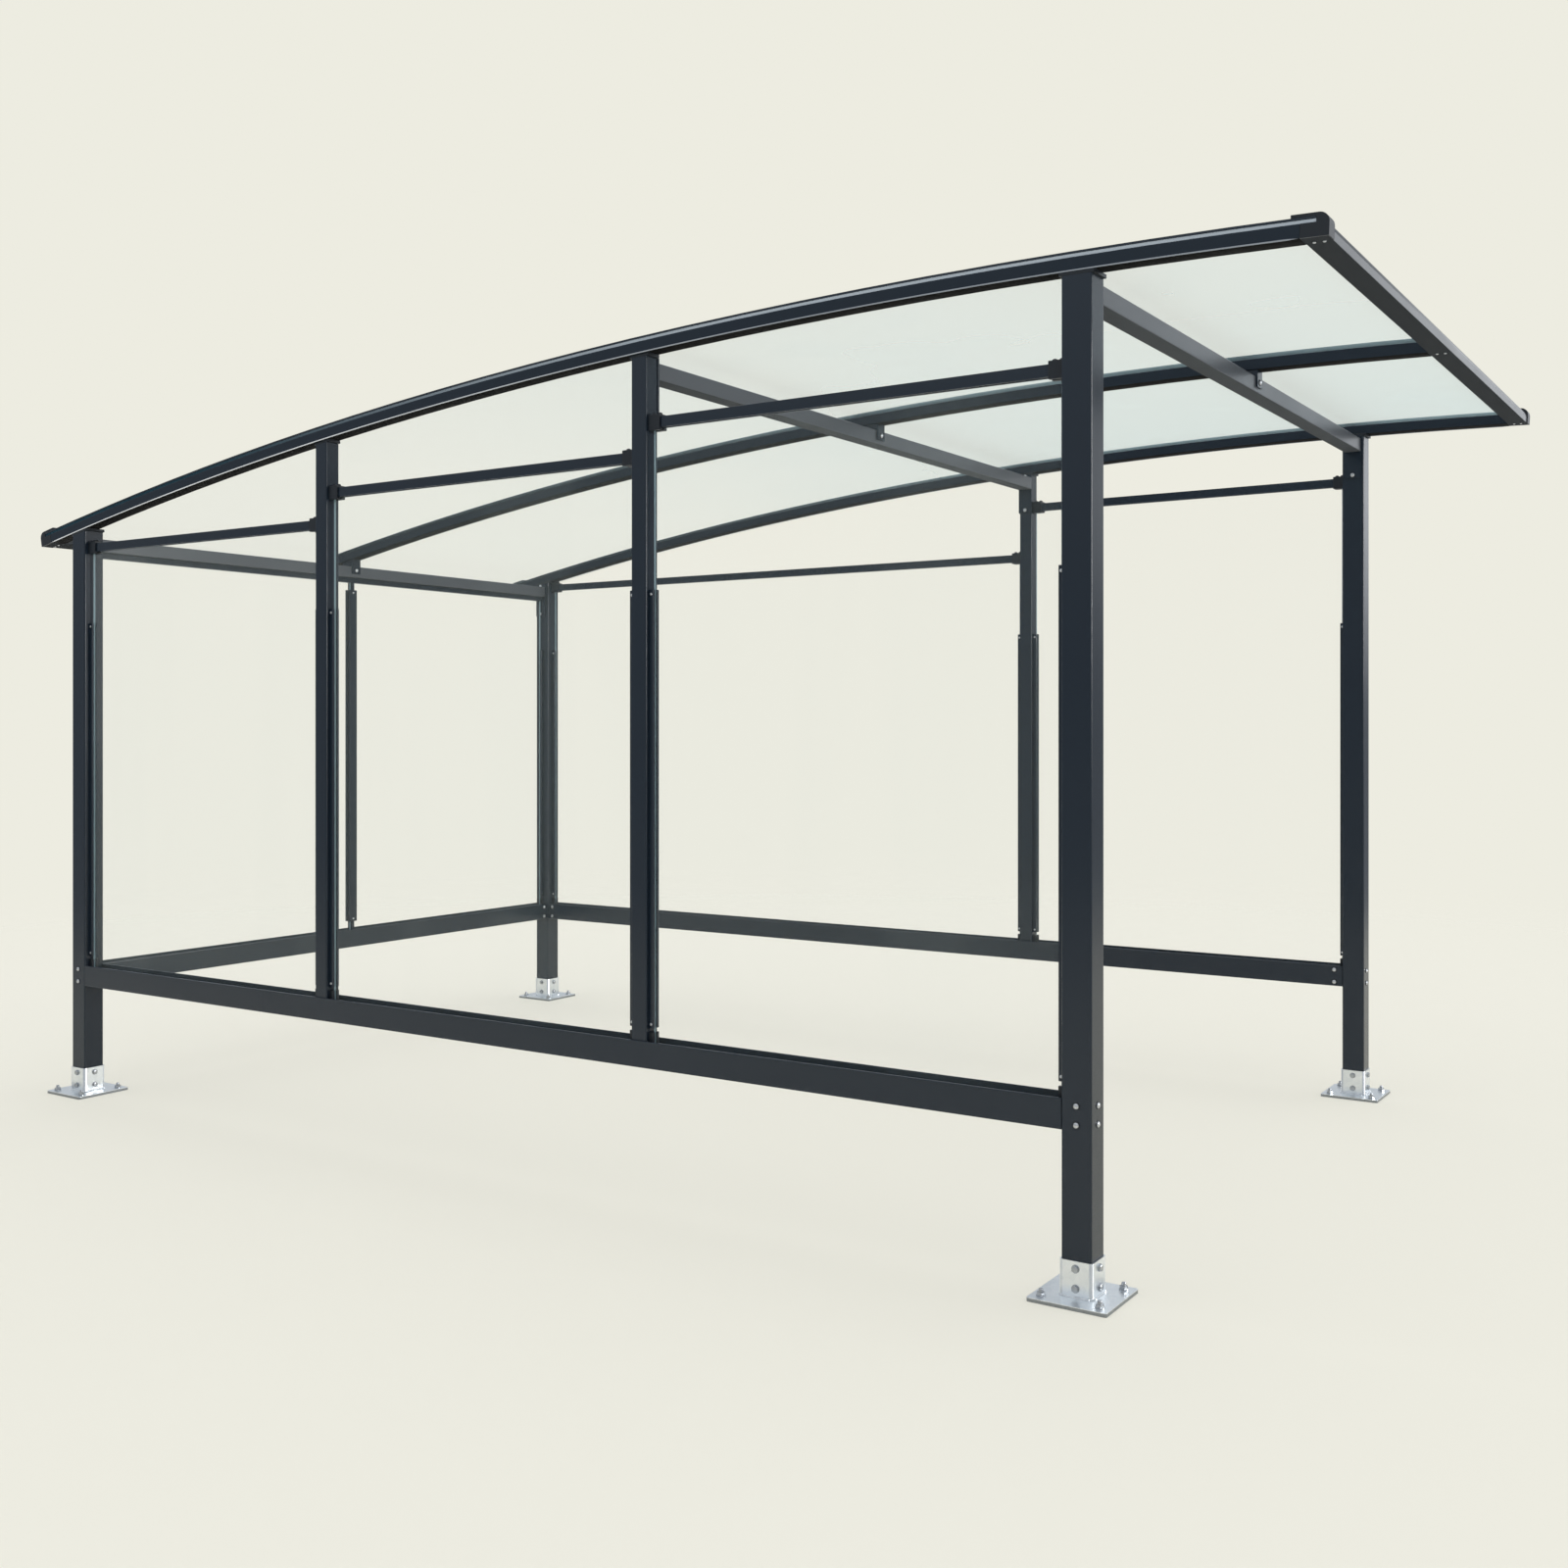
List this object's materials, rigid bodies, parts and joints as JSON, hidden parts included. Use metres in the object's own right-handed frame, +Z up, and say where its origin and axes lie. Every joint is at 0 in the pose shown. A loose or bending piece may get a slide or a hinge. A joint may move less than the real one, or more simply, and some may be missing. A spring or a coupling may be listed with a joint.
{
  "type": "shopping cart shelter",
  "caption": "Open-ended shelter for a row of nested shopping carts: square posts on bolted feet, clear panes on the sides and back, arched clear roof.",
  "frame": {"origin": "on the floor, under the middle of the roof's length and width", "axes": "+X along the shelter from the closed end to the entrance, +Y from the near long side to the far one, +Z up"},
  "size_m": [4.9799, 2.86, 2.5836],
  "materials": {
    "frame_paint": "satin anthracite powder coat",
    "galvanised": "hot-dip galvanised",
    "clear_pane": "clear",
    "clear_roof": "clear sheet",
    "black_plastic": "moulded black"
  },
  "bodies": {
    "root": {"foot_near_left": "galvanised", "corner_post_near_left": "frame_paint", "foot_near_right": "galvanised", "corner_post_near_right": "frame_paint", "foot_far_left": "galvanised", "corner_post_far_left": "frame_paint", "foot_far_right": "galvanised", "corner_post_far_right": "frame_paint", "near_second_post": "frame_paint", "near_third_post": "frame_paint", "far_middle_post": "frame_paint", "near_rail": "frame_paint", "far_rail": "frame_paint", "end_rail": "frame_paint", "near_arched_beam": "frame_paint", "middle_arched_beam": "frame_paint", "far_arched_beam": "frame_paint", "near_cover_strip": "frame_paint", "middle_cover_strip": "frame_paint", "far_cover_strip": "frame_paint", "roof_end_bar_left": "frame_paint", "roof_end_bar_right": "frame_paint", "left_crossbeam": "frame_paint", "middle_crossbeam": "frame_paint", "right_crossbeam": "frame_paint", "crossbeam_end_plates": "frame_paint", "middle_beam_brackets": "frame_paint", "near_glazing_channels": "frame_paint", "far_glazing_channels": "frame_paint", "end_glazing_channels": "frame_paint", "end_head_channel": "frame_paint", "end_mullion": "frame_paint", "near_left_pane": "clear_pane", "near_left_top_bar": "frame_paint", "near_middle_pane": "clear_pane", "near_middle_top_bar": "frame_paint", "near_right_pane": "clear_pane", "near_right_top_bar": "frame_paint", "far_long_pane": "clear_pane", "far_long_top_bar": "frame_paint", "far_right_pane": "clear_pane", "far_right_top_bar": "frame_paint", "end_near_pane": "clear_pane", "end_far_pane": "clear_pane", "near_roof_sheet": "clear_roof", "far_roof_sheet": "clear_roof", "post_cap_plates": "black_plastic", "roof_corner_caps": "black_plastic", "near_bar_clamps": "black_plastic", "far_bar_clamps": "black_plastic", "glazing_blocks": "black_plastic"}
  },
  "joints": []
}
